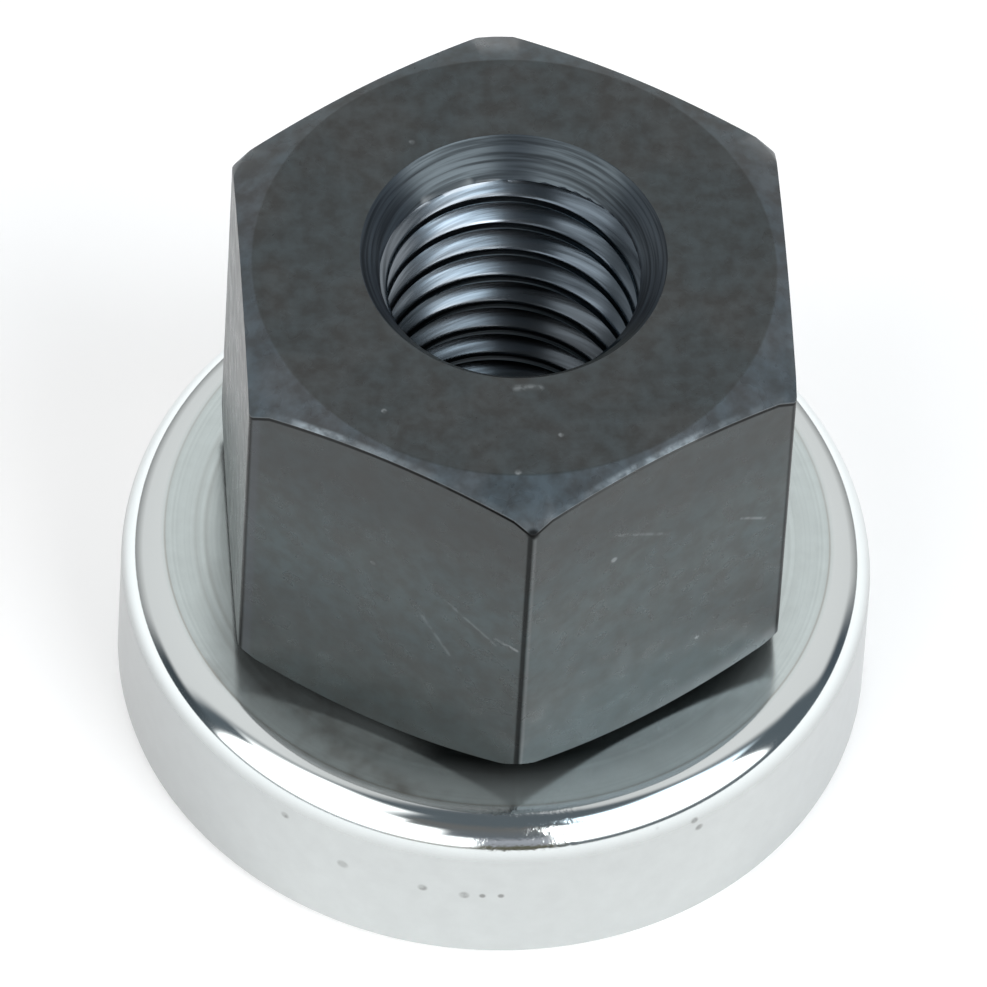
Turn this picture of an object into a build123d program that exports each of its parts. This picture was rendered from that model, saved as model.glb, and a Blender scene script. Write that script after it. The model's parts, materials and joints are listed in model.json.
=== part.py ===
from build123d import *
import os
from math import cos, radians, sqrt, tan

# A two-piece flange nut, in millimetres.
# A tall hexagon nut of black steel stands on a thick bright washer that it carries captive.
# The nut seats on the washer with a ball-shaped shoulder, and its thin skirt goes down through
# the washer and is flared out underneath, so that the washer turns freely but can't drop off.
# The origin is the centre of the washer's underside, and +Z points up along the thread's axis.

# Thread
thread_dia = 12.0
thread_pitch = 1.75
countersink_dia = 12.4
countersink_angle = 90.0
countersink_shift = 0.5

# Hexagon
across_flats = 22.0
hex_height = 18.0
hex_edge_radius = 0.3
top_inset = 0.5
top_chamfer_angle = 21.5
bearing_inset = 0.55
bearing_chamfer_angle = 28.0

# Washer
washer_dia = 30.7
washer_thickness = 8.0
shoulder_width = 1.75
shoulder_height = 1.9
foot_chamfer = 0.4

# Ball seat between nut and washer
ball_radius = 14.0
seat_inset = 0.8
seat_clearance = 0.1
face_gap = 0.15

# Skirt that holds the washer
relief_play = 0.25
relief_height = 3.2
runout_height = 0.6
skirt_wall = 1.0
skirt_clearance = 0.1
lip_flare = 1.0
lip_edge = 0.5
lip_recess = 0.8
lip_clearance = 0.15
recess_clearance = 0.3

# Levels and radii that follow from them
face_z = washer_thickness + face_gap
top_z = face_z + hex_height
bearing_radius = across_flats / 2 - bearing_inset
seat_radius = bearing_radius - seat_inset
ball_z = washer_thickness + sqrt(ball_radius**2 - seat_radius**2)
minor_radius = thread_dia / 2 - 5 / 8 * thread_pitch * cos(radians(30))
relief_radius = thread_dia / 2 + relief_play
skirt_radius = relief_radius + skirt_wall
throat_radius = skirt_radius + skirt_clearance
lip_radius = skirt_radius + lip_flare
recess_radius = lip_radius + recess_clearance


def turned(points):
    """Turn a closed half section, given as (radius, height) corners, about the axis."""
    corners = [(radius, 0, height) for radius, height in points]
    return revolve(make_face(Polyline(*corners, close=True)), Axis.Z)


def ball(clearance):
    """The ball that both seats follow, smaller by the clearance."""
    return Pos(0, 0, ball_z) * Sphere(ball_radius - clearance)


def hexagon():
    """Hexagon bar with its upright edges eased and both ends chamfered in the lathe."""
    half_flats = across_flats / 2
    half_corners = half_flats / cos(radians(30))
    bar = extrude(RegularPolygon(half_flats, 6, major_radius=False, rotation=30), hex_height)
    bar = fillet(bar.edges().filter_by(Axis.Z), hex_edge_radius)
    top_radius = half_flats - top_inset
    top_drop = (half_corners - top_radius) * tan(radians(top_chamfer_angle))
    bearing_rise = (half_corners - bearing_radius) * tan(radians(bearing_chamfer_angle))
    blank = turned(
        [
            (0, face_z),
            (bearing_radius, face_z),
            (half_corners, face_z + bearing_rise),
            (half_corners, top_z - top_drop),
            (top_radius, top_z),
            (0, top_z),
        ]
    )
    return Pos(0, 0, face_z) * bar & blank


def nut_shoulder():
    """Ball-shaped shoulder under the hexagon, down to where the skirt leaves it."""
    blank = turned([(0, 0), (seat_radius, 0), (seat_radius, face_z), (0, face_z)])
    return blank & ball(seat_clearance)


def nut_skirt():
    """Skirt through the washer, with the lip that is flared out underneath."""
    lip_top = lip_recess + lip_edge
    return turned(
        [
            (0, lip_recess),
            (lip_radius, lip_recess),
            (lip_radius, lip_top),
            (skirt_radius, lip_top + lip_flare),
            (skirt_radius, face_z),
            (0, face_z),
        ]
    )


def nut_bore():
    """Core hole of the thread, and the flared relief in the skirt."""
    relief_top = lip_recess + relief_height
    return turned(
        [
            (0, lip_recess),
            (relief_radius + lip_flare, lip_recess),
            (relief_radius, lip_recess + lip_flare),
            (relief_radius, relief_top),
            (minor_radius, relief_top + runout_height),
            (minor_radius, top_z),
            (0, top_z),
        ]
    )


def countersink():
    """Mouth of the bore, cut a little off the thread's axis towards +Y as in the photo."""
    foot_radius = minor_radius - countersink_shift
    foot_z = top_z - (countersink_dia / 2 - foot_radius) / tan(radians(countersink_angle / 2))
    mouth = turned([(0, foot_z), (foot_radius, foot_z), (countersink_dia / 2, top_z), (0, top_z)])
    return Pos(0, countersink_shift, 0) * mouth


def nut():
    return hexagon() + nut_shoulder() + nut_skirt() - nut_bore() - countersink()


def washer_hole():
    """Throat round the skirt, and the recess under it that the flared lip turns in."""
    slope_gap = lip_clearance * sqrt(2)
    lip_top = lip_recess + lip_edge
    throat_foot = lip_top + lip_flare - skirt_clearance + slope_gap
    recess_top = lip_top - recess_clearance + slope_gap
    return turned(
        [
            (0, 0),
            (recess_radius, 0),
            (recess_radius, recess_top),
            (throat_radius, throat_foot),
            (throat_radius, washer_thickness),
            (0, washer_thickness),
        ]
    )


def washer_disc():
    """Solid disc, its foot chamfered and its upper edge rolled over in a quarter of an oval."""
    rim = washer_dia / 2
    roundness = 4 / 3 * (sqrt(2) - 1)
    shoulder = Bezier(
        (rim, 0, washer_thickness - shoulder_height),
        (rim, 0, washer_thickness - shoulder_height * (1 - roundness)),
        (rim - shoulder_width * (1 - roundness), 0, washer_thickness),
        (rim - shoulder_width, 0, washer_thickness),
    )
    rest = Polyline(
        shoulder @ 1,
        (0, 0, washer_thickness),
        (0, 0, 0),
        (rim - foot_chamfer, 0, 0),
        (rim, 0, foot_chamfer),
        shoulder @ 0,
    )
    return revolve(make_face([shoulder, rest]), Axis.Z)


def washer():
    """Thick washer with a rounded shoulder and the hollow seat for the nut's ball."""
    return washer_disc() - ball(0) - washer_hole()


os.makedirs("parts", exist_ok=True)
export_step(nut(), "parts/nut.step")
export_step(washer(), "parts/washer.step")
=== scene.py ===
import json
import math

import bpy
import numpy as np
from mathutils import Matrix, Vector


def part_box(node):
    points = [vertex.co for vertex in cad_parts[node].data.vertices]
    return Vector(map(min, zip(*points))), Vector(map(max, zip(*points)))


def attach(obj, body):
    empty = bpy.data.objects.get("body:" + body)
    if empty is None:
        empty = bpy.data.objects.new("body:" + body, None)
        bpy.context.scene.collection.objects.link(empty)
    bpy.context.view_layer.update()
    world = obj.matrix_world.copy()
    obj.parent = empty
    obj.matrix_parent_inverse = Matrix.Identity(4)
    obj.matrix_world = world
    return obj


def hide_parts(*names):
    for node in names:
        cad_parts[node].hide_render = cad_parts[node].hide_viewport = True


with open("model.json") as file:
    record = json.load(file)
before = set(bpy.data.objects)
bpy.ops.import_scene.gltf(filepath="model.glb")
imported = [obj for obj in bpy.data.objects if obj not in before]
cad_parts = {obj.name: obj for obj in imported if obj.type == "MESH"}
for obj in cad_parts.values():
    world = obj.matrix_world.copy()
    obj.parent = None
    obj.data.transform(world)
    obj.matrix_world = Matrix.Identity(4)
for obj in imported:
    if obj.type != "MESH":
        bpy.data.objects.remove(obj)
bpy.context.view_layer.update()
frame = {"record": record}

# A tall hexagon nut of black steel, standing on a thick bright washer that turns under it.
# All sizes below are in millimetres and meshes are scaled to metres as they are made.
MM = 0.001
COS_30 = math.cos(math.radians(30))
TAN_30 = math.tan(math.radians(30))

# Sizes read from the frame
nut_low, nut_high = (np.array(corner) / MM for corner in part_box("nut"))
washer_low, washer_high = (np.array(corner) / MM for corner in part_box("washer"))
MOUNTS = {mount["name"]: mount for mount in frame["record"]["mounts"]}
HALF_FLATS = nut_high[0]
TOP_Z = nut_high[2]
LIP_RECESS = nut_low[2]
WASHER_RADIUS = washer_high[0]
WASHER_TOP = washer_high[2]
MINOR_RADIUS = MOUNTS["thread"]["dims"]["r_mm"]

# Hexagon
FACE_GAP = 0.15
FACE_Z = WASHER_TOP + FACE_GAP
CORNER_RADIUS = 0.3
TOP_INSET = 0.5
TOP_CHAMFER = math.radians(21.5)
BEARING_INSET = 0.55
BEARING_CHAMFER = math.radians(28)
CHAMFER_START = HALF_FLATS - TOP_INSET
BEARING_START = HALF_FLATS - BEARING_INSET

# Small break where the hexagon's corners meet the chamfers, from these radii outward
TOP_BREAK = 12.28
BEARING_BREAK = 12.33
BREAK_SLOPE = math.tan(math.radians(50))

# Thread and countersink
THREAD_RADIUS = 6.0
PITCH = 1.75
THREAD_LIFT = 0.16
CREST_EASE = 0.07
ROOT_EASE = 0.06
THREAD_DEPTH = 0.5413 * PITCH
CREST_HALF = PITCH / 8 + (MINOR_RADIUS - THREAD_RADIUS + THREAD_DEPTH) * TAN_30
COUNTERSINK_RADIUS = 6.2
COUNTERSINK_SLOPE = math.tan(math.radians(45))
COUNTERSINK_SHIFT = 0.5

# Height where the helical wall meets the turned mouth, and the mouth's radii over which the
# countersink cuts the thread away
WALL_TOP = TOP_Z - 0.15
CUT_START = 5.08
CUT_WIDTH = 0.32

# Ball seat, skirt and lip
BALL_RADIUS = 14.0
SEAT_INSET = 0.8
SEAT_RADIUS = BEARING_START - SEAT_INSET
BALL_Z = WASHER_TOP + math.sqrt(BALL_RADIUS**2 - SEAT_RADIUS**2)
SEAT_CLEARANCE = 0.1
RELIEF_RADIUS = 6.25
RELIEF_TOP = LIP_RECESS + 3.2
RUNOUT_TOP = RELIEF_TOP + 0.6
SKIRT_RADIUS = 7.25
THROAT_RADIUS = 7.35
LIP_FLARE = 1.0
LIP_TOP = LIP_RECESS + 0.5
RECESS_CLEARANCE = 0.3
RECESS_RADIUS = SKIRT_RADIUS + LIP_FLARE + RECESS_CLEARANCE
LIP_CLEARANCE = 0.15
SLOPE_GAP = LIP_CLEARANCE * math.sqrt(2)

# Washer
SHOULDER_WIDTH = 1.75
SHOULDER_HEIGHT = 1.9
FOOT_CHAMFER = 0.4
FLAT_EDGE = WASHER_RADIUS - SHOULDER_WIDTH

# Painted light and shade of each of the hexagon's flats, lighter or darker by how light falls on it, by
# twelfths of a turn from -X
FACE_PAINTED_LIGHT = [(0, 1.0), (1, 0.91), (3, 1.12), (5, 1.0), (7, 1.0), (9, 1.0)]

# Painted shade of the flats by height, from the bearing face to the top, darkest at the foot
LEVEL_PAINTED_SHADE = [(0, 0.36), (0.25, 0.6), (0.5, 0.95), (0.65, 0.8), (0.82, 0.4), (1.0, 0.4)]

# Painted highlight on the chamfer's edge and painted shade line under it, by place across the nut
ACROSS = (-12.0, 12.0)
GLINTS = [
    (0, 0.0), (0.1, 0.1), (0.13, 0.9), (0.19, 0.8), (0.22, 0.4), (0.34, 0.14),
    (0.5, 0.08), (0.6, 0.2), (0.66, 0.75), (0.78, 0.7), (0.84, 0.2), (1.0, 0.05),
]
UNDER_CHAMFER_SHADE = [
    (0, 0.9), (0.14, 0.75), (0.24, 0.85), (0.48, 1.0), (0.52, 0.9),
    (0.57, 0.6), (0.64, 0.35), (0.77, 0.35), (0.81, 0.85), (1.0, 0.9),
]

# Places on the nut with a reach, where the oxide is rubbed bright
RUBBED = [
    (1.32, -8.60, 26.15, 0.15),
    (-5.68, -7.16, 26.15, 0.15),
    (-0.51, -10.39, 26.15, 0.18),
    (-3.74, 6.43, 26.15, 0.16),
    (-6.00, -9.24, 18.82, 0.16),
    (3.55, -10.65, 20.47, 0.20),
    (7.42, -8.42, 12.12, 0.14),
]

# Scratches on the nut, each from one place to another with a reach and a strength
SCRATCHES = [
    ((-0.33, -6.18, 26.15), (0.63, -6.16, 26.15), 0.24, 0.8),
    ((-3.17, -10.87, 18.34), (-1.17, -12.03, 16.82), 0.12, 0.35),
    ((-1.18, -12.02, 17.20), (-0.35, -12.50, 17.03), 0.13, 1.0),
    ((-4.01, -10.39, 16.69), (-2.90, -11.03, 14.91), 0.14, 0.3),
    ((3.50, -10.68, 22.15), (5.83, -9.33, 20.38), 0.13, 0.4),
    ((8.98, -7.52, 18.86), (9.99, -6.93, 18.04), 0.12, 0.7),
]

# Painted highlight at the start of the thread, under the countersink
LIP_HIGHLIGHT_PLACES = [
    ((-3.16, 4.13, 25.20), (-1.40, 5.02, 25.14), 0.42, 1.0),
    ((-1.03, 5.10, 24.99), (-0.29, 5.19, 24.77), 0.30, 0.9),
]

# Dark spot on the hexagon's corner, at the top of its front edge
DARK_CORNER = (0.0, -12.66, 24.92, 0.42)

# Tiny dark pits in the washer's rim
PITS = [
    (-7.02, -13.65, 4.37, 0.30),
    (-3.84, -14.86, 4.27, 0.26),
    (-2.16, -15.20, 4.13, 0.28),
    (-1.42, -15.28, 4.15, 0.18),
    (-0.67, -15.34, 4.18, 0.18),
    (7.25, -13.53, 6.49, 0.22),
    (7.45, -13.42, 5.92, 0.24),
    (5.72, -14.25, 6.93, 0.22),
    (-9.32, -12.19, 5.86, 0.24),
]

# Camera of the photograph
CAMERA_AZIMUTH = math.radians(-6.413)
CAMERA_ELEVATION = math.radians(52.833)
CAMERA_ROLL = math.radians(3.573)
CAMERA_DISTANCE = 831.8
CAMERA_RIGHT = -0.161
CAMERA_UP = 1.786
CAMERA_SENSOR = 36.0
CAMERA_LENS = 742.0


def grey(value, tint=(1, 1, 1)):
    """Opaque colour of a brightness, times a tint of red, green and blue."""
    return (value * tint[0], value * tint[1], value * tint[2], 1)


def grey_stops(stops):
    """Places from 0 to 1 and brightnesses, as stops for Nodes.stops."""
    return [(place, grey(value)) for place, value in stops]


# Colours of the nut's oxide
OXIDE_DARK = grey(0.025, (0.95, 1.0, 0.97))
OXIDE_PALE = grey(0.045, (0.86, 1.0, 1.03))
OXIDE_BLUISH = grey(1.0, (0.86, 0.97, 1.02))
FACE_TINT = (0.78, 1.0, 1.0)
# Painted light: the chamfer made paler, more so at the back, for the light it reflects
CHAMFER_FRONT_PAINTED_LIGHT = grey(1.6, (0.97, 1.0, 1.1))
CHAMFER_BACK_PAINTED_LIGHT = grey(1.9, (0.97, 1.0, 1.04))
# Black of the painted shade lines along the edges and under the nut
SHADE_LINE_BLACK = grey(0.004)
# Painted light and shade at the edges: a pale highlight, a bluish shade, and the chamfer's highlight,
# which is partly rubbed metal
EDGE_HIGHLIGHT_PALE = grey(0.12, (0.93, 1, 1.02))
EDGE_SHADE_BLUE = grey(0.03, (0.8, 1, 1.3))
CHAMFER_HIGHLIGHT = grey(0.3, (0.85, 1, 1.1))
SCRATCH_COLOR = grey(0.4, (0.93, 1, 1.03))
# Painted reflection of the washer on the foot of the right flats
FOOT_REFLECTION_COLOR = grey(0.17, (0.93, 1, 1.04))

# Colours of the bore
THREAD_DARK = grey(0.1, (0.86, 0.98, 1.1))
THREAD_PALE = grey(0.36, (0.88, 0.99, 1.1))
# Painted shade on the thread's right side and towards its foot
THREAD_SHADE = grey(0.37, (0.92, 1.0, 1.06))
THREAD_FOOT_SHADE = grey(0.03)
CONE_DARK = grey(0.006, (0.85, 0.97, 1.2))
CONE_PALE = grey(0.03, (0.8, 1.0, 1.3))
# Painted light on the countersink's near side
CONE_NEAR_PAINTED_LIGHT = grey(0.04, (0.9, 1.0, 1.0))
# Colour of the painted highlight at the start of the thread
LIP_HIGHLIGHT_COLOR = grey(0.85, (0.95, 1.0, 1.03))
BORE_SHINE = grey(1.0, (0.76, 0.92, 1.0))

# Colours of the washer
FLAT_DARK = grey(0.68, (0.9, 1.0, 0.995))
FLAT_PALE = grey(0.84, (0.9, 1.0, 0.995))
FLAT_WORN = grey(0.3, (1.0, 0.97, 0.88))
FLAT_GRAIN = grey(0.42, (0.95, 1, 0.97))
SHOULDER_COLOR = grey(0.84, (0.95, 1.0, 1.0))
# Painted shade at the left and right sides of the rim
RIM_LEFT_SHADE = grey(0.48, (0.965, 1.0, 1.0))
RIM_MIDDLE = grey(0.6, (0.965, 1.0, 0.99))
RIM_RIGHT_SHADE = grey(0.56, (0.965, 1.0, 1.0))
RIM_GRAIN = grey(0.3)
STAIN_COLOR = grey(0.3, (1.0, 0.93, 0.84))
# Painted shade line at the edge of the washer's flat, standing in for a small step
FLAT_EDGE_SHADE = grey(0.3, (1.0, 0.85, 0.68))
PIT_COLOR = grey(0.1, (1.0, 0.95, 0.88))

# Studio: what is behind the object and what is in front of it, by elevation as a share of 90 degrees
BEHIND = [
    (0.0, grey(0.30)),
    (0.14, grey(0.55)),
    (0.24, grey(0.74)),
    (0.76, grey(0.78)),
    (0.87, grey(0.66)),
    (0.93, grey(0.16, (0.9, 1, 1.1))),
    (1.0, grey(0.12, (0.9, 1, 1.1))),
]
FRONT = grey(0.13, (0.85, 1, 1.12))
MIDDLE_GAP = [
    (0.0, grey(0.07, (1, 0.95, 0.6))),
    (0.09, grey(0.15, (1, 0.96, 0.7))),
    (0.13, grey(0.34, (0.95, 0.98, 1.08))),
    (0.25, grey(0.42, (0.95, 0.98, 1.08))),
    (0.36, grey(0.16, (0.9, 1, 1.12))),
    (0.6, grey(0.15)),
]

# Brightness of the two soft windows
LEFT_WINDOW = 2.8
RIGHT_WINDOW = 3.8

# Dark screens and then windows in the order they cover each other, each a colour and its panes.
# A pane is two bands of degrees, from the front and above the floor: low, high and softness.
PANES = [
    (grey(0.09, (0.8, 1.0, 1.2)), [((75, 112, 8), (-90, 20, 7))]),
    (grey(0.12, (0.82, 1.0, 1.15)), [((-89, -81, 3), (-90, 40, 6)), ((73, 95, 4), (-90, 40, 6))]),
    (grey(0.07, (0.82, 1.0, 1.15)), [((-108, -83, 8), (-90, 18, 6))]),
    (grey(LEFT_WINDOW * 0.75), [((-85, -38, 8), (46, 72, 4))]),
    (grey(RIGHT_WINDOW * 0.8, (0.86, 1.0, 1.1)), [((30, 80, 8), (46, 66, 4))]),
    (
        grey(LEFT_WINDOW),
        [((-79, -29, 2), (5, 50, 5)), ((-33, -17, 3), (5, 42, 5)), ((-33, -8, 3), (5, 27, 5))],
    ),
    (grey(RIGHT_WINDOW), [((14, 72, 2), (10, 52, 5))]),
]


def ring_angles():
    """Angles of the mesh's columns: even along each flat, and close together round each corner."""
    straight = (HALF_FLATS - CORNER_RADIUS) * TAN_30
    along = np.linspace(-straight, straight, 37)
    flat = np.degrees(np.arctan(along / HALF_FLATS))
    corner = np.linspace(flat[-1], 60 + flat[0], 5)[1:-1]
    one_side = np.concatenate([flat, corner])
    return np.radians(np.concatenate([one_side + 60 * side for side in range(6)]))


ANGLES = ring_angles()


def hexagon_radii():
    """Distance from the axis to the hexagon's rounded outline at each column."""
    corner_centre = (HALF_FLATS - CORNER_RADIUS) / COS_30
    from_flat = (ANGLES + math.radians(30)) % math.radians(60) - math.radians(30)
    from_corner = math.radians(30) - np.abs(from_flat)
    sharp = HALF_FLATS / np.cos(from_flat)
    across = corner_centre * np.sin(from_corner)
    inside = np.clip(CORNER_RADIUS**2 - across**2, 0, None)
    rounded_corner = corner_centre * np.cos(from_corner) + np.sqrt(inside)
    return np.where(across < CORNER_RADIUS / 2, rounded_corner, sharp)


def corner_arc(before, here, after, rounding, steps):
    """Points of the arc that rounds a corner between its two neighbours."""
    before = (before - here) / np.linalg.norm(before - here)
    after = (after - here) / np.linalg.norm(after - here)
    half = math.acos(np.clip(before @ after, -1, 1)) / 2
    reach = rounding / math.tan(half)
    middle = (before + after) / np.linalg.norm(before + after)
    centre = here + middle * rounding / math.sin(half)
    start = here + before * reach - centre
    finish = here + after * reach - centre
    sweep = math.pi - 2 * half
    points = []
    for part in np.linspace(0, 1, steps + 1):
        near = math.sin((1 - part) * sweep) / math.sin(sweep)
        far = math.sin(part * sweep) / math.sin(sweep)
        points.append(centre + start * near + finish * far)
    return points


def rounded(corners, steps=4):
    """Profile through (radius, height, rounding) corners, each rounding an arc of so many steps."""
    places = [np.array(corner[:2]) for corner in corners]
    points = [places[0]]
    for index in range(1, len(corners) - 1):
        rounding = corners[index][2]
        if rounding == 0:
            points.append(places[index])
        else:
            points += corner_arc(*places[index - 1 : index + 2], rounding, steps)
    return points + [places[-1]]


def ball_arc(clearance, from_radius, to_radius, steps):
    """Points on the ball's underside between two distances from the axis."""
    ball = BALL_RADIUS - clearance
    radii = np.linspace(from_radius, to_radius, steps + 1)
    return [(radius, BALL_Z - math.sqrt(ball**2 - radius**2), 0) for radius in radii]


def mesh_object(name, lathe, materials):
    """Closed mesh from points in millimetres, smooth except at its sharp edges."""
    mesh = bpy.data.meshes.new(name)
    mesh.from_pydata([tuple(point * MM) for point in lathe.vertices], [], lathe.faces)
    for material in materials:
        mesh.materials.append(material)
    mesh.polygons.foreach_set("material_index", lathe.tags)
    mesh.validate()
    thing = bpy.data.objects.new(name, mesh)
    bpy.context.scene.collection.objects.link(thing)
    bpy.context.view_layer.objects.active = thing
    bpy.ops.object.select_all(action="DESELECT")
    thing.select_set(True)
    bpy.ops.object.mode_set(mode="EDIT")
    bpy.ops.mesh.select_all(action="SELECT")
    bpy.ops.mesh.normals_make_consistent(inside=False)
    bpy.ops.object.mode_set(mode="OBJECT")
    bpy.ops.object.shade_smooth_by_angle(angle=math.radians(35))
    return thing


class Lathe:
    """Rings of points round the axis, skinned ring to ring, each face tagged with its material."""

    def __init__(self, angles):
        self.cos = np.cos(angles)
        self.sin = np.sin(angles)
        self.columns = len(angles)
        self.vertices = []
        self.faces = []
        self.tags = []

    def point(self, column, radius, height):
        """Add one point in a column and give its number."""
        place = (radius * self.cos[column], radius * self.sin[column], height)
        self.vertices.append(np.array(place))
        return len(self.vertices) - 1

    def ring(self, radii, heights):
        """Add a ring of points and give their numbers."""
        radii = np.broadcast_to(radii, self.columns)
        heights = np.broadcast_to(heights, self.columns)
        return [self.point(column, radii[column], heights[column]) for column in range(self.columns)]

    def skin(self, one, other, tag=0):
        """Faces between two rings."""
        for column in range(self.columns):
            after = (column + 1) % self.columns
            self.faces.append((one[column], one[after], other[after], other[column]))
            self.tags.append(tag)

    def skin_columns(self, here, there, tag):
        """Faces between two columns, leaving out corners that fall together."""
        for row in range(min(len(here), len(there)) - 1):
            corners = [here[row], there[row], there[row + 1], here[row + 1]]
            face = [corner for k, corner in enumerate(corners) if corner != corners[k - 1]]
            if len(face) > 2:
                self.faces.append(tuple(face))
                self.tags.append(tag)


def smooth_max(one, other, blend):
    """The larger of two values, rounded off where they cross."""
    return (one + other + np.sqrt((one - other) ** 2 + blend**2)) / 2


def thread_radius(phase):
    """Wall radius of the internal thread at a fraction of the pitch, counted from a crest's middle."""
    from_crest = np.abs((phase + 0.5) % 1 - 0.5) * PITCH
    flank = (from_crest - CREST_HALF) / TAN_30
    depth = THREAD_RADIUS - MINOR_RADIUS
    return MINOR_RADIUS + depth - smooth_max(depth - smooth_max(flank, 0, CREST_EASE), 0, ROOT_EASE)


def countersink_radius(height):
    """Radius of the countersink about its own axis."""
    cone = COUNTERSINK_RADIUS - (TOP_Z - height) * COUNTERSINK_SLOPE
    return np.maximum(cone, MINOR_RADIUS - 1)


def shifted(radius, angle):
    """Distance from the thread's axis to a circle moved towards +Y like the countersink."""
    across = COUNTERSINK_SHIFT * math.cos(angle)
    return COUNTERSINK_SHIFT * math.sin(angle) + np.sqrt(radius**2 - across**2)


def thread_steps():
    """Rows of one turn of the thread, as fractions of the pitch from a crest's middle."""
    crest = CREST_HALF / PITCH
    root = 1 / 2 - 1 / 16
    spans = [(-crest, crest, 7), (crest, root, 8), (root, 1 - root, 3), (1 - root, 1 - crest, 9)]
    return np.concatenate([np.linspace(low, high, rows, endpoint=False) for low, high, rows in spans])


def wall_radii(phases, heights, angle):
    """Radii down one column: the thread, run out into the relief and cut away by the countersink."""
    mouth = shifted(countersink_radius(heights), angle)
    rise = (heights - RELIEF_TOP) / (RUNOUT_TOP - RELIEF_TOP)
    runout = RELIEF_RADIUS - rise * (RELIEF_RADIUS - MINOR_RADIUS)
    threaded = smooth_max(thread_radius(phases), np.maximum(mouth, runout), 0.03)
    cut = np.clip((mouth - CUT_START) / CUT_WIDTH, 0, 1)
    cut = cut * cut * (3 - 2 * cut)
    return threaded + (mouth - threaded) * cut


def wall_column(lathe, column, phases, low_point, high_point):
    """Points of the helical wall up one column, held at the rings below and above it."""
    turn = (ANGLES[column] - ANGLES[0]) / (2 * math.pi)
    heights = RELIEF_TOP + THREAD_LIFT + PITCH * (phases - 1 + turn)
    radii = wall_radii(phases, heights, ANGLES[column])
    points = []
    for radius, height in zip(radii, heights):
        if height <= RELIEF_TOP:
            points.append(low_point)
        elif height >= WALL_TOP:
            points.append(high_point)
        else:
            points.append(lathe.point(column, radius, height))
    return points


def thread_wall(lathe, low_ring, high_ring, tag):
    """Helical wall between two rings, its rows along the thread so that crest and root stay crisp."""
    steps = thread_steps()
    turns = math.ceil((WALL_TOP - RELIEF_TOP) / PITCH) + 2
    phases = np.concatenate([steps + turn for turn in range(turns)])
    columns = []
    for column, ends in enumerate(zip(low_ring, high_ring)):
        columns.append(wall_column(lathe, column, phases, *ends))
    columns.append(columns[0][len(steps) :])
    for here, there in zip(columns, columns[1:]):
        lathe.skin_columns(here, there, tag)


def nut_profile(wall, angle):
    """Half section of the nut at one column, from the bore's mouth over the outside to the relief."""
    apart = 0.002
    top_break = min(wall, TOP_BREAK)
    low_break = min(wall, BEARING_BREAK)
    top_break_z = TOP_Z - (top_break - CHAMFER_START) * math.tan(TOP_CHAMFER)
    low_break_z = FACE_Z + (low_break - BEARING_START) * math.tan(BEARING_CHAMFER)
    wall_top = top_break_z - (wall - top_break) * BREAK_SLOPE - apart
    wall_foot = low_break_z + (wall - low_break) * BREAK_SLOPE + apart
    hexagon = [
        (shifted(countersink_radius(WALL_TOP), angle), WALL_TOP, 0),
        (shifted(COUNTERSINK_RADIUS, angle), TOP_Z, 0.04),
        (CHAMFER_START, TOP_Z, 0.25),
        (top_break - 2 * apart, top_break_z, 0),
        (wall, wall_top, 0),
        (wall, wall_foot, 0),
        (low_break - 2 * apart, low_break_z, 0),
        (BEARING_START, FACE_Z, 0.08),
        (SEAT_RADIUS, FACE_Z, 0),
    ]
    skirt = [
        (SKIRT_RADIUS, LIP_TOP + LIP_FLARE, 0),
        (SKIRT_RADIUS + LIP_FLARE, LIP_TOP, 0.15),
        (SKIRT_RADIUS + LIP_FLARE, LIP_RECESS, 0.1),
        (RELIEF_RADIUS + LIP_FLARE, LIP_RECESS, 0.1),
        (RELIEF_RADIUS, LIP_RECESS + LIP_FLARE, 0.1),
        (RELIEF_RADIUS, RELIEF_TOP, 0),
    ]
    return rounded(hexagon + ball_arc(SEAT_CLEARANCE, SEAT_RADIUS, SKIRT_RADIUS, 8) + skirt)


def nut_mesh(materials):
    """The whole nut with its real thread, as one closed mesh; the bore has the second material."""
    outside, bore = 0, 1
    mouth_rows = 3
    lathe = Lathe(ANGLES)
    table = np.array([nut_profile(wall, angle) for wall, angle in zip(hexagon_radii(), ANGLES)])
    rings = [lathe.ring(table[:, row, 0], table[:, row, 1]) for row in range(table.shape[1])]
    for row in range(len(rings) - 1):
        lathe.skin(rings[row], rings[row + 1], bore if row < mouth_rows else outside)
    thread_wall(lathe, rings[-1], rings[0], bore)
    return mesh_object("nut_body", lathe, materials)


def washer_profile():
    """Closed half section of the washer, with a finely stepped shoulder."""
    profile = []
    for radius in np.linspace(SEAT_RADIUS, FLAT_EDGE - 0.05, 8):
        profile.append((radius, WASHER_TOP))
    for turn in np.linspace(math.pi / 2, 0, 33):
        radius = WASHER_RADIUS - SHOULDER_WIDTH * (1 - math.cos(turn))
        profile.append((radius, WASHER_TOP - SHOULDER_HEIGHT * (1 - math.sin(turn))))
    throat_foot = LIP_TOP + LIP_FLARE - (THROAT_RADIUS - SKIRT_RADIUS) + SLOPE_GAP
    under = [
        (WASHER_RADIUS, FOOT_CHAMFER + 1, 0),
        (WASHER_RADIUS, FOOT_CHAMFER, 0.1),
        (WASHER_RADIUS - FOOT_CHAMFER, 0, 0.1),
        (RECESS_RADIUS, 0, 0.1),
        (RECESS_RADIUS, LIP_TOP - RECESS_CLEARANCE + SLOPE_GAP, 0.05),
        (THROAT_RADIUS, throat_foot, 0.05),
    ]
    seat = ball_arc(0, THROAT_RADIUS, SEAT_RADIUS, 8)
    return profile + rounded(under + seat)[:-1]


def washer_mesh(materials):
    """The washer, turned to the same profile as the solid."""
    lathe = Lathe(np.linspace(0, 2 * math.pi, 256, endpoint=False))
    rings = [lathe.ring(radius, height) for radius, height in washer_profile()]
    for row in range(len(rings)):
        lathe.skin(rings[row], rings[(row + 1) % len(rings)])
    return mesh_object("washer_ring", lathe, materials)


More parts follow.
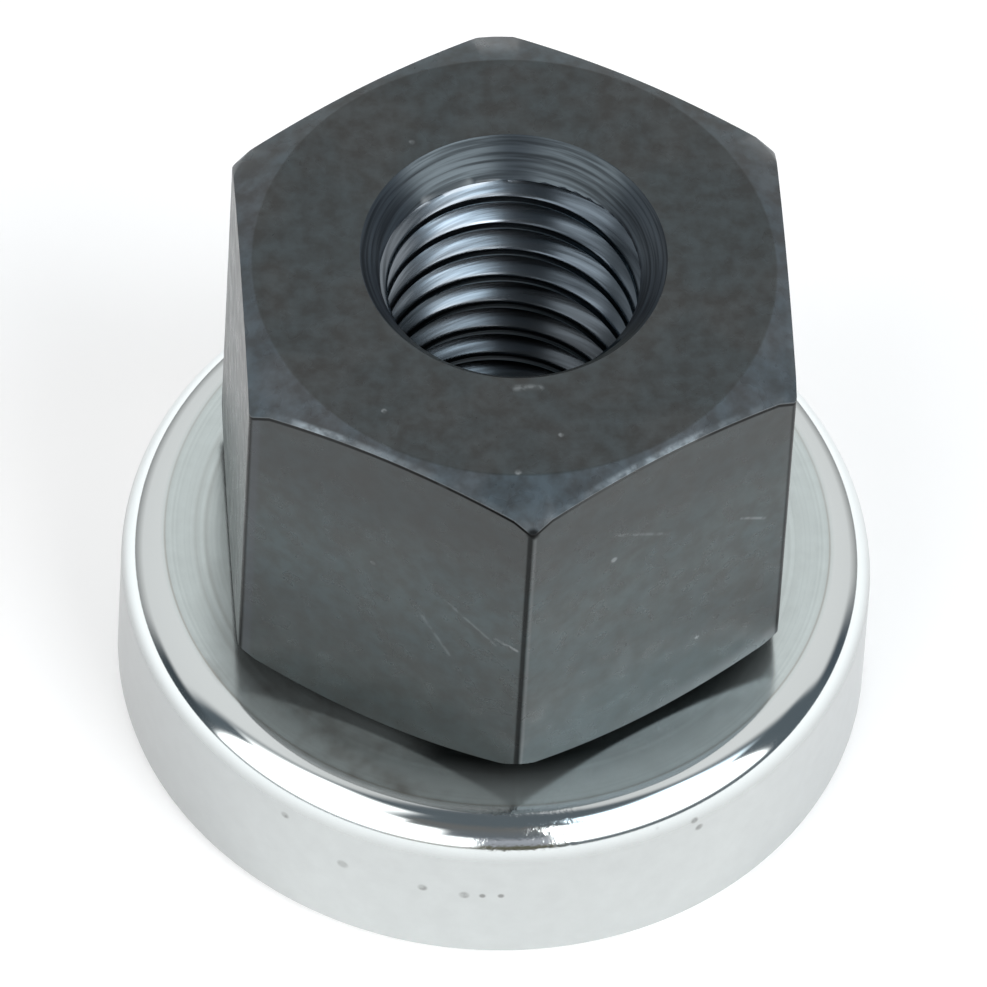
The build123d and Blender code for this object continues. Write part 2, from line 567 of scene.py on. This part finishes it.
class Nodes:
    """Short way to add and wire shader nodes in one tree."""

    def __init__(self, tree):
        self.tree = tree

    def add(self, kind, **settings):
        node = self.tree.nodes.new(kind)
        for key, value in settings.items():
            setattr(node, key, value)
        return node

    def feed(self, socket, value):
        if isinstance(value, bpy.types.NodeSocket):
            self.tree.links.new(value, socket)
        else:
            socket.default_value = value

    def math(self, operation, *values, clamp=False):
        node = self.add("ShaderNodeMath", operation=operation, use_clamp=clamp)
        for socket, value in zip(node.inputs, values):
            self.feed(socket, value)
        return node.outputs[0]

    def chain(self, operation, values):
        """One math operation carried through all the values."""
        total, *others = values
        for value in others:
            total = self.math(operation, total, value)
        return total

    def times(self, *values):
        return self.chain("MULTIPLY", values)

    def plus(self, *values):
        return self.chain("ADD", values)

    def most(self, *values):
        return self.chain("MAXIMUM", values)

    def minus(self, one, other):
        return self.math("SUBTRACT", one, other)

    def distance(self, x, y):
        """Distance from the axis to a place across it."""
        return self.math("SQRT", self.plus(self.times(x, x), self.times(y, y)))

    def ramp(self, value, low, high, start=0.0, end=1.0, kind="SMOOTHSTEP"):
        """Value carried from low..high to start..end, held outside that range."""
        node = self.add("ShaderNodeMapRange", interpolation_type=kind)
        for socket, item in zip(node.inputs, (value, low, high, start, end)):
            self.feed(socket, item)
        return node.outputs[0]

    def band(self, value, low, high, soft):
        """One between low and high, fading to nothing over the soft width at both ends."""
        rise = self.ramp(value, low - soft, low + soft)
        fall = self.ramp(value, high - soft, high + soft, 1.0, 0.0)
        return self.times(rise, fall)

    def mix(self, share, one, other, blend="MIX"):
        node = self.add("ShaderNodeMix", data_type="RGBA", blend_type=blend)
        self.feed(node.inputs[0], share)
        self.feed(node.inputs[6], one)
        self.feed(node.inputs[7], other)
        return node.outputs[2]

    def tinted(self, color, tint):
        return self.mix(1.0, color, tint, "MULTIPLY")

    def stops(self, value, stops, kind="LINEAR"):
        """Colour at a value along a list of places from 0 to 1 and their colours."""
        node = self.add("ShaderNodeValToRGB")
        node.color_ramp.interpolation = kind
        items = node.color_ramp.elements
        while len(items) < len(stops):
            items.new(1.0)
        for item, (place, color) in zip(items, stops):
            item.position = place
            item.color = color
        self.feed(node.inputs[0], value)
        return node.outputs[0]

    def noise(self, vector, scale, detail=2.0, roughness=0.5):
        node = self.add("ShaderNodeTexNoise")
        self.feed(node.inputs["Vector"], vector)
        node.inputs["Scale"].default_value = scale
        node.inputs["Detail"].default_value = detail
        node.inputs["Roughness"].default_value = roughness
        return node.outputs["Fac"]

    def rings(self, radius, scale, detail):
        """Noise that changes only with the distance from the axis."""
        node = self.add("ShaderNodeTexNoise", noise_dimensions="1D")
        self.feed(node.inputs["W"], radius)
        node.inputs["Scale"].default_value = scale
        node.inputs["Detail"].default_value = detail
        return node.outputs["Fac"]

    def stretched(self, vector, scale):
        """Place scaled by its own amount along X, Y and Z."""
        node = self.add("ShaderNodeMapping")
        self.feed(node.inputs["Vector"], vector)
        node.inputs["Scale"].default_value = scale
        return node.outputs[0]

    def vector(self, operation, one, other):
        node = self.add("ShaderNodeVectorMath", operation=operation)
        self.feed(node.inputs[0], one)
        self.feed(node.inputs[1], other)
        return node.outputs

    def place(self):
        """Object coordinates in metres, with their parts and the distance from the axis in mm."""
        point = self.add("ShaderNodeTexCoord").outputs["Object"]
        parts = self.add("ShaderNodeSeparateXYZ")
        self.feed(parts.inputs[0], point)
        x, y, z = (self.times(part, 1 / MM) for part in parts.outputs)
        return point, x, y, z, self.distance(x, y)

    def near(self, point, centre, reach):
        """One close to a place given in mm, fading to nothing at the reach."""
        gap = self.vector("DISTANCE", point, [part * MM for part in centre])["Value"]
        return self.ramp(gap, reach * 0.4 * MM, reach * MM, 1.0, 0.0)

    def any_near(self, point, places):
        return self.most(*(self.near(point, centre, reach) for *centre, reach in places))

    def near_line(self, point, start, finish, reach):
        """One close to a straight line between two places in mm, fading to nothing at the reach."""
        start = np.array(start) * MM
        along = np.array(finish) * MM - start
        offset = self.vector("SUBTRACT", point, start)[0]
        part = self.vector("DOT_PRODUCT", offset, along / (along @ along))["Value"]
        foot = self.add("ShaderNodeVectorMath", operation="SCALE")
        foot.inputs[0].default_value = along
        self.feed(foot.inputs["Scale"], self.math("ADD", part, 0.0, clamp=True))
        gap = self.vector("DISTANCE", offset, foot.outputs[0])["Value"]
        return self.ramp(gap, 0.0, reach * MM, 1.0, 0.0)


def new_material(name, metallic):
    """Empty material, with a helper for its nodes and its surface shader."""
    material = bpy.data.materials.new(name)
    material.use_nodes = True
    nodes = Nodes(material.node_tree)
    shader = material.node_tree.nodes["Principled BSDF"]
    shader.inputs["Metallic"].default_value = metallic
    return material, nodes, shader


def bump(nodes, shader, height, distance, strength=1.0):
    """Raise the surface by a height from 0 to 1 times a distance in mm, as it is shaded."""
    node = nodes.add("ShaderNodeBump")
    node.inputs["Strength"].default_value = strength
    node.inputs["Distance"].default_value = distance * MM
    nodes.feed(node.inputs["Height"], height)
    nodes.feed(shader.inputs["Normal"], node.outputs[0])


class NutPlace:
    """Where a point of the nut's outside is: shader values in mm, and masks from 0 to 1."""

    def __init__(self, nodes):
        self.point, self.x, self.y, self.z, self.radius = nodes.place()
        self.turn = nodes.math("ARCTAN2", self.y, self.x)
        self.across = nodes.ramp(self.x, *ACROSS, kind="LINEAR")
        self.over_top = self.over_top_chamfer(nodes)
        self.over_bearing = self.over_bearing_chamfer(nodes)
        self.from_corner = self.from_upright_edge(nodes)
        wall = nodes.ramp(self.radius, HALF_FLATS - 0.15, HALF_FLATS - 0.05)
        self.on_wall = nodes.times(wall, nodes.ramp(self.over_top, -0.06, -0.03, 1.0, 0.0))
        outside = nodes.ramp(self.radius, CHAMFER_START + 0.02, CHAMFER_START + 0.12)
        self.on_chamfer = nodes.times(nodes.ramp(self.over_top, -0.06, -0.03), outside)
        self.on_front = nodes.times(nodes.ramp(self.y, -12.0, -11.5, 1.0, 0.0), self.on_wall)

    def over_top_chamfer(self, nodes):
        """Height over the surface of the top chamfer and its break, carried on outwards."""
        chamfered = nodes.minus(nodes.math("MINIMUM", self.radius, TOP_BREAK), CHAMFER_START)
        broken = nodes.most(nodes.minus(self.radius, TOP_BREAK), 0.0)
        drop = nodes.times(chamfered, math.tan(TOP_CHAMFER))
        drop = nodes.plus(drop, nodes.times(broken, BREAK_SLOPE))
        return nodes.minus(nodes.plus(self.z, drop), TOP_Z)

    def over_bearing_chamfer(self, nodes):
        """Height over the bearing face and its chamfer."""
        beyond = nodes.most(nodes.minus(self.radius, BEARING_START), 0.0)
        rise = nodes.times(beyond, math.tan(BEARING_CHAMFER))
        return nodes.minus(nodes.minus(self.z, FACE_Z), rise)

    def from_upright_edge(self, nodes):
        """Distance along the wall from the nearest upright edge of the hexagon."""
        turn = nodes.plus(self.turn, math.radians(30))
        turn = nodes.math("WRAP", turn, math.radians(30), math.radians(-30))
        return nodes.times(turn, HALF_FLATS / COS_30)


def oxide_painted_light(nodes, at):
    """Painted light and shade on the oxide: by flat and by height on the walls, and a paler painted light
    on the chamfer.
    """
    level = nodes.ramp(at.z, FACE_Z, TOP_Z, kind="LINEAR")
    level_tone = nodes.stops(level, grey_stops(LEVEL_PAINTED_SHADE))
    share = nodes.plus(nodes.math("DIVIDE", at.turn, 2 * math.pi), 0.5)
    face_tones = [(start / 12, grey(tone, FACE_TINT)) for start, tone in FACE_PAINTED_LIGHT]
    tone = nodes.mix(at.on_wall, grey(1.0), nodes.stops(share, face_tones, "CONSTANT"))
    tone = nodes.mix(at.on_wall, tone, nodes.tinted(tone, level_tone))
    back = nodes.ramp(at.y, 2.0, 9.0)
    return nodes.mix(at.on_chamfer, tone, nodes.mix(back, CHAMFER_FRONT_PAINTED_LIGHT, CHAMFER_BACK_PAINTED_LIGHT))


def oxide_color(nodes, at):
    """Finely mottled dark oxide with broad bluish patches."""
    fine = nodes.ramp(nodes.noise(at.point, 1300, 3, 0.6), 0.36, 0.64, kind="LINEAR")
    broad = nodes.ramp(nodes.noise(at.point, 330, 2, 0.5), 0.35, 0.65)
    base = nodes.mix(fine, OXIDE_DARK, OXIDE_PALE)
    base = nodes.mix(broad, base, nodes.tinted(base, OXIDE_BLUISH))
    return nodes.tinted(base, oxide_painted_light(nodes, at))


def chamfer_glint(nodes, at):
    """Painted highlight along the chamfer's edge over the front flats, partly rubbed metal."""
    to_flat = nodes.math("WRAP", at.turn, math.radians(30), math.radians(-30))
    from_edge = nodes.minus(HALF_FLATS, nodes.times(at.radius, nodes.math("COSINE", to_flat)))
    glint = nodes.stops(at.across, grey_stops(GLINTS))
    front = nodes.times(nodes.ramp(at.y, -4.0, 0.0, 1.0, 0.0), at.on_chamfer)
    patchy = nodes.ramp(nodes.noise(at.point, 1100, 3, 0.6), 0.4, 0.6, 0.2, 1.0)
    return nodes.times(glint, front, nodes.ramp(from_edge, 0.08, 0.3, 1.0, 0.0), patchy)


def edge_light_and_shade(nodes, at, base):
    """Painted light and shade at the edges: a pale highlight right of the front corner, a bluish shade
    right of the left one, and the chamfer's highlight.
    """
    pale = nodes.times(nodes.band(at.from_corner, 0.05, 0.16, 0.06), at.on_front, 0.4)
    base = nodes.mix(pale, base, EDGE_HIGHLIGHT_PALE)
    leftmost = nodes.times(nodes.ramp(at.x, -11.0, -9.0, 1.0, 0.0), at.on_wall, 0.5)
    blue = nodes.times(nodes.band(at.from_corner, 0.12, 0.45, 0.1), leftmost)
    base = nodes.mix(blue, base, EDGE_SHADE_BLUE)
    return nodes.mix(chamfer_glint(nodes, at), base, CHAMFER_HIGHLIGHT)


def scratched(nodes, at, base):
    """Rubbed spots and scratches, broken up into flecks."""
    worn = nodes.any_near(at.point, RUBBED)
    for start, finish, reach, strength in SCRATCHES:
        worn = nodes.most(worn, nodes.times(nodes.near_line(at.point, start, finish, reach), strength))
    flecks = nodes.ramp(nodes.noise(at.point, 2600, 2, 0.5), 0.42, 0.6, 0.25, 1.0)
    return nodes.mix(nodes.times(worn, flecks, 0.32), base, SCRATCH_COLOR)


def painted_edge_shade(nodes, at):
    """Painted shade lines at the upright edges and under the chamfer, and a dark spot at the top of the
    front edge.
    """
    front_edge = nodes.times(nodes.band(at.from_corner, -0.2, 0.0, 0.05), at.on_front, 0.8)
    outermost = nodes.ramp(nodes.math("ABSOLUTE", at.x), 9.5, 10.5, 0.0, 0.75)
    side_edges = nodes.times(nodes.band(at.from_corner, -0.17, 0.13, 0.06), at.on_wall, outermost)
    uneven = nodes.ramp(nodes.noise(at.point, 500, 2, 0.5), 0.25, 0.42, 0.6, 1.0)
    under_chamfer = nodes.times(nodes.band(at.over_top, -0.24, -0.06, 0.05), at.on_wall, uneven)
    rim = nodes.times(nodes.stops(at.across, grey_stops(UNDER_CHAMFER_SHADE)), under_chamfer)
    dark_spot = nodes.times(nodes.near(at.point, DARK_CORNER[:3], DARK_CORNER[3]), 0.9)
    return nodes.most(front_edge, rim, side_edges, dark_spot)


def oxide_shine(nodes, at, dark):
    """Shine of the oxide: less at the foot of the left flats, and none on the painted shade lines."""
    lower = nodes.ramp(at.z, FACE_Z, FACE_Z + 10.0, 1.0, 0.0, "LINEAR")
    loss = nodes.times(lower, nodes.ramp(at.x, -0.5, 0.5, 0.3, 0.05))
    return nodes.times(nodes.minus(0.5, loss), nodes.minus(1.0, dark))


def oxide_material():
    """Black oxide on machined steel: dark satin grey, mottled, with rubbed spots and scratches, and
    painted light and shade on its flats, chamfer and edges.
    """
    material, nodes, shader = new_material("black_oxide", 0.0)
    at = NutPlace(nodes)
    base = oxide_color(nodes, at)
    base = edge_light_and_shade(nodes, at, base)
    base = scratched(nodes, at, base)
    edges = painted_edge_shade(nodes, at)
    # Painted shade: black lines along the edges and under the chamfer
    base = nodes.mix(edges, base, SHADE_LINE_BLACK)
    # Painted reflection of the washer on the foot of the right flats
    right_foot = nodes.times(nodes.ramp(at.over_bearing, 0.0, 1.1, 0.5, 0.0), nodes.ramp(at.x, 4.0, 9.0))
    base = nodes.mix(nodes.times(right_foot, at.on_wall), base, FOOT_REFLECTION_COLOR)
    # Painted shade: a black line along the bearing face, where the nut meets the washer
    under = nodes.times(nodes.band(at.over_bearing, -0.08, 0.03, 0.02), 0.85)
    base = nodes.mix(under, base, SHADE_LINE_BLACK)
    nodes.feed(shader.inputs["Base Color"], base)
    rough = nodes.ramp(nodes.noise(at.point, 900, 2, 0.5), 0.3, 0.7, 0.26, 0.34)
    nodes.feed(shader.inputs["Roughness"], rough)
    nodes.feed(shader.inputs["Specular IOR Level"], oxide_shine(nodes, at, nodes.most(edges, under)))
    shader.inputs["IOR"].default_value = 1.47
    return material


def cone_mask(nodes, x, y, z):
    """One on the countersink's cone, and nothing on the thread below it."""
    radius = nodes.distance(x, nodes.minus(y, COUNTERSINK_SHIFT))
    off_cone = nodes.minus(radius, COUNTERSINK_RADIUS - TOP_Z * COUNTERSINK_SLOPE)
    off_cone = nodes.minus(off_cone, nodes.times(z, COUNTERSINK_SLOPE))
    return nodes.ramp(off_cone, 0.03, 0.1, 1.0, 0.0)


def thread_color(nodes, ring, x, z):
    """Bare metal of the thread, with painted shade on its right side and towards its foot."""
    color = nodes.mix(ring, THREAD_DARK, THREAD_PALE)
    color = nodes.mix(nodes.ramp(x, -0.5, 2.0), color, nodes.tinted(color, THREAD_SHADE))
    return nodes.mix(nodes.ramp(z, TOP_Z - 10.0, TOP_Z - 6.5, 0.5, 0.0), color, THREAD_FOOT_SHADE)


def cone_color(nodes, ring, y):
    """Dark turned countersink, with painted light making it paler on its near side."""
    turned = nodes.mix(ring, CONE_DARK, CONE_PALE)
    return nodes.mix(nodes.ramp(y, -2.0, -4.5, 0.0, 1.0), turned, CONE_NEAR_PAINTED_LIGHT)


def bore_material():
    """Cut thread of bare metal below a darker countersink, both with fine turning rings, and with painted
    shade, light and a highlight on them.
    """
    material, nodes, shader = new_material("cut_bore", 1.0)
    shader.inputs["IOR"].default_value = 1.56
    point, x, y, z, _ = nodes.place()
    streaks = nodes.noise(nodes.stretched(point, (0.12, 0.12, 4.6)), 1500, 3, 0.55)
    ring = nodes.ramp(streaks, 0.3, 0.7, kind="LINEAR")
    on_cone = cone_mask(nodes, x, y, z)
    base = nodes.mix(on_cone, thread_color(nodes, ring, x, z), cone_color(nodes, ring, y))
    # Painted highlight at the start of the thread
    for start, finish, reach, strength in LIP_HIGHLIGHT_PLACES:
        lip = nodes.times(nodes.near_line(point, start, finish, reach), strength)
        base = nodes.mix(lip, base, LIP_HIGHLIGHT_COLOR)
    nodes.feed(shader.inputs["Base Color"], base)
    nodes.feed(shader.inputs["Metallic"], nodes.minus(1.0, on_cone))
    shader.inputs["Specular Tint"].default_value = BORE_SHINE
    nodes.feed(shader.inputs["Specular IOR Level"], nodes.ramp(ring, 0.15, 0.85, 0.28, 0.72))
    rough = nodes.plus(nodes.ramp(ring, 0.1, 0.9, 0.28, 0.18), nodes.times(on_cone, 0.1))
    nodes.feed(shader.inputs["Roughness"], rough)
    bump(nodes, shader, ring, 0.012, 0.3)
    return material


class WasherPlace:
    """Where a point of the washer is: shader values in mm, and masks from 0 to 1."""

    def __init__(self, nodes):
        self.point, self.x, self.y, self.z, self.radius = nodes.place()
        self.on_flat = nodes.ramp(self.radius, FLAT_EDGE - 0.1, FLAT_EDGE + 0.25, 1.0, 0.0)
        self.on_side = nodes.ramp(self.z, WASHER_TOP - 1.65, WASHER_TOP - 0.75, 1.0, 0.0)
        self.grain = nodes.ramp(nodes.noise(self.point, 1100, 3, 0.6), 0.3, 0.7, 0.0, 1.0, "LINEAR")


def turned_flat(nodes, at):
    """Fine turned rings, and two worn ones that show on the left."""
    base = nodes.mix(nodes.rings(at.radius, 6.0, 4.0), FLAT_DARK, FLAT_PALE)
    inner = nodes.band(at.radius, 11.85, 12.0, 0.12)
    outer = nodes.band(at.radius, 12.3, 12.4, 0.1)
    worn = nodes.times(nodes.most(inner, outer), nodes.ramp(at.x, -11.0, -8.0, 0.3, 0.05))
    return nodes.mix(worn, base, FLAT_WORN)


def rim_color(nodes, at):
    """Satin rim, with painted shade making it a little darker at both sides."""
    color = nodes.mix(nodes.ramp(at.x, -15.0, -7.0), RIM_LEFT_SHADE, RIM_MIDDLE)
    color = nodes.mix(nodes.ramp(at.x, 8.0, 15.0), color, RIM_RIGHT_SHADE)
    return nodes.mix(nodes.times(at.grain, 0.1), color, RIM_GRAIN)


def washer_marks(nodes, at, base):
    """Brown stains on the front of the flat, a thin painted shade line round its edge, and pits in the
    rim.
    """
    stain = nodes.ramp(nodes.noise(at.point, 330, 3, 0.6), 0.45, 0.7)
    front_left = nodes.times(nodes.ramp(at.y, -9.0, -4.0, 1.0, 0.0), nodes.ramp(at.x, -1.0, 3.0, 1.0, 0.0))
    base = nodes.mix(nodes.times(stain, at.on_flat, front_left, 0.75), base, STAIN_COLOR)
    # Painted shade line round the flat's edge, standing in for a small step
    edge = nodes.band(at.radius, FLAT_EDGE - 0.03, FLAT_EDGE + 0.05, 0.03)
    base = nodes.mix(nodes.times(edge, nodes.ramp(at.y, -2, 4, 0.4, 0.25)), base, FLAT_EDGE_SHADE)
    uneven = nodes.ramp(nodes.noise(at.point, 2600, 2, 0.5), 0.35, 0.6, 0.3, 0.6)
    return nodes.mix(nodes.times(nodes.any_near(at.point, PITS), uneven), base, PIT_COLOR)


def washer_dullness(nodes, at):
    """How little metallic the flat is: towards its edge, and where it is smeared at the front left."""
    front = nodes.ramp(at.y, -4.0, 0.0, 1.0, 0.0)
    smeared = nodes.times(nodes.ramp(at.x, -5.5, -2.5, 0.07, 0.0), front)
    dull = nodes.most(nodes.ramp(at.radius, 11.2, 13.3, 0.0, 0.13), smeared)
    return nodes.times(at.on_flat, dull)


def shoulder_nicks(nodes, at):
    """Height of the tiny nicks in the front of the polished shoulder."""
    front = nodes.times(nodes.band(at.x, -1.9, 2.3, 0.6), nodes.ramp(at.y, -13.8, -13.2, 1.0, 0.0))
    nicks = nodes.ramp(nodes.noise(at.point, 2200, 3, 0.6), 0.35, 0.65)
    return nodes.times(nicks, front, nodes.minus(1.0, at.on_side))


def washer_material():
    """Bright steel: fine turned flat, polished shoulder, satin rim with tiny pits."""
    material, nodes, shader = new_material("bright_steel", 1.0)
    at = WasherPlace(nodes)
    base = nodes.mix(nodes.minus(1.0, at.on_flat), turned_flat(nodes, at), SHOULDER_COLOR)
    base = nodes.mix(at.on_side, base, rim_color(nodes, at))
    base = nodes.mix(nodes.times(at.on_flat, at.grain, 0.16), base, FLAT_GRAIN)
    nodes.feed(shader.inputs["Base Color"], washer_marks(nodes, at, base))
    nodes.feed(shader.inputs["Metallic"], nodes.minus(1.0, washer_dullness(nodes, at)))
    rough = nodes.plus(0.08, nodes.times(at.on_flat, 0.11), nodes.times(at.on_side, 0.2))
    nodes.feed(shader.inputs["Roughness"], rough)
    bump(nodes, shader, shoulder_nicks(nodes, at), 0.0035)
    return material


def camera_axes():
    """Directions to the camera's right, up and back."""
    level = math.cos(CAMERA_ELEVATION)
    side = math.sin(CAMERA_AZIMUTH) * level
    back = np.array([side, -math.cos(CAMERA_AZIMUTH) * level, math.sin(CAMERA_ELEVATION)])
    level_right = np.cross([0, 0, 1], back)
    level_right /= np.linalg.norm(level_right)
    level_up = np.cross(back, level_right)
    right = math.cos(CAMERA_ROLL) * level_right + math.sin(CAMERA_ROLL) * level_up
    up = math.cos(CAMERA_ROLL) * level_up - math.sin(CAMERA_ROLL) * level_right
    return right, up, back


def make_camera():
    """Camera at the photograph's place, fitted to the object's edges in it."""
    right, up, back = camera_axes()
    place = CAMERA_DISTANCE * back + CAMERA_RIGHT * right + CAMERA_UP * up + [0, 0, WASHER_TOP]
    data = bpy.data.cameras.new("camera")
    data.sensor_width = CAMERA_SENSOR
    data.lens = CAMERA_LENS
    camera = bpy.data.objects.new("camera", data)
    bpy.context.scene.collection.objects.link(camera)
    matrix = np.eye(4)
    matrix[:3] = np.stack([right, up, back, place * MM], 1)
    camera.matrix_world = Matrix(matrix.tolist())
    bpy.context.scene.camera = camera


def make_floor():
    """Pale floor that stays white where it is seen and keeps the shadow."""
    bpy.ops.mesh.primitive_plane_add(size=8)
    floor = bpy.context.object
    floor.name = "floor"
    material, nodes, shader = new_material("floor", 0.0)
    shader.inputs["Base Color"].default_value = grey(0.86)
    shader.inputs["Roughness"].default_value = 1.0
    shader.inputs["Specular IOR Level"].default_value = 0.0
    shader.inputs["Emission Color"].default_value = grey(1.0)
    path = nodes.add("ShaderNodeLightPath").outputs
    seen = nodes.plus(path["Is Camera Ray"], path["Is Glossy Ray"])
    seen = nodes.math("ADD", seen, path["Is Transmission Ray"], clamp=True)
    nodes.feed(shader.inputs["Emission Strength"], nodes.times(seen, 0.2))
    floor.data.materials.append(material)


def make_world():
    """Studio seen by direction: two soft white windows in front, dark gaps beside and between them."""
    world = bpy.data.worlds.new("studio")
    bpy.context.scene.world = world
    world.use_nodes = True
    nodes = Nodes(world.node_tree)
    direction = nodes.add("ShaderNodeSeparateXYZ")
    nodes.feed(direction.inputs[0], nodes.add("ShaderNodeTexCoord").outputs["Generated"])
    x, y, z = direction.outputs
    turn = nodes.math("ARCTAN2", x, nodes.times(y, -1.0))
    azimuth = nodes.times(turn, math.degrees(1))
    elevation = nodes.times(nodes.math("ARCSINE", z), math.degrees(1))
    level = nodes.math("DIVIDE", elevation, 90.0)
    color = nodes.mix(nodes.ramp(y, -0.05, 0.12, 1.0, 0.0), nodes.stops(level, BEHIND), FRONT)
    gap = nodes.times(nodes.band(azimuth, -30, 14, 3), nodes.ramp(elevation, 55, 66, 1.0, 0.0))
    color = nodes.mix(gap, color, nodes.stops(level, MIDDLE_GAP))
    for light, panes in PANES:
        shares = []
        for turned, raised in panes:
            shares.append(nodes.times(nodes.band(azimuth, *turned), nodes.band(elevation, *raised)))
        color = nodes.mix(nodes.most(*shares), color, light)
    nodes.feed(world.node_tree.nodes["Background"].inputs["Color"], color)


nut = nut_mesh([oxide_material(), bore_material()])
washer = washer_mesh([washer_material()])
for piece, node, slot in ((nut, "nut", "nut_steel"), (washer, "washer", "washer_steel")):
    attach(piece, node)
    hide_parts(node)
make_floor()
make_camera()
make_world()
bpy.context.scene.view_settings.view_transform = "Standard"
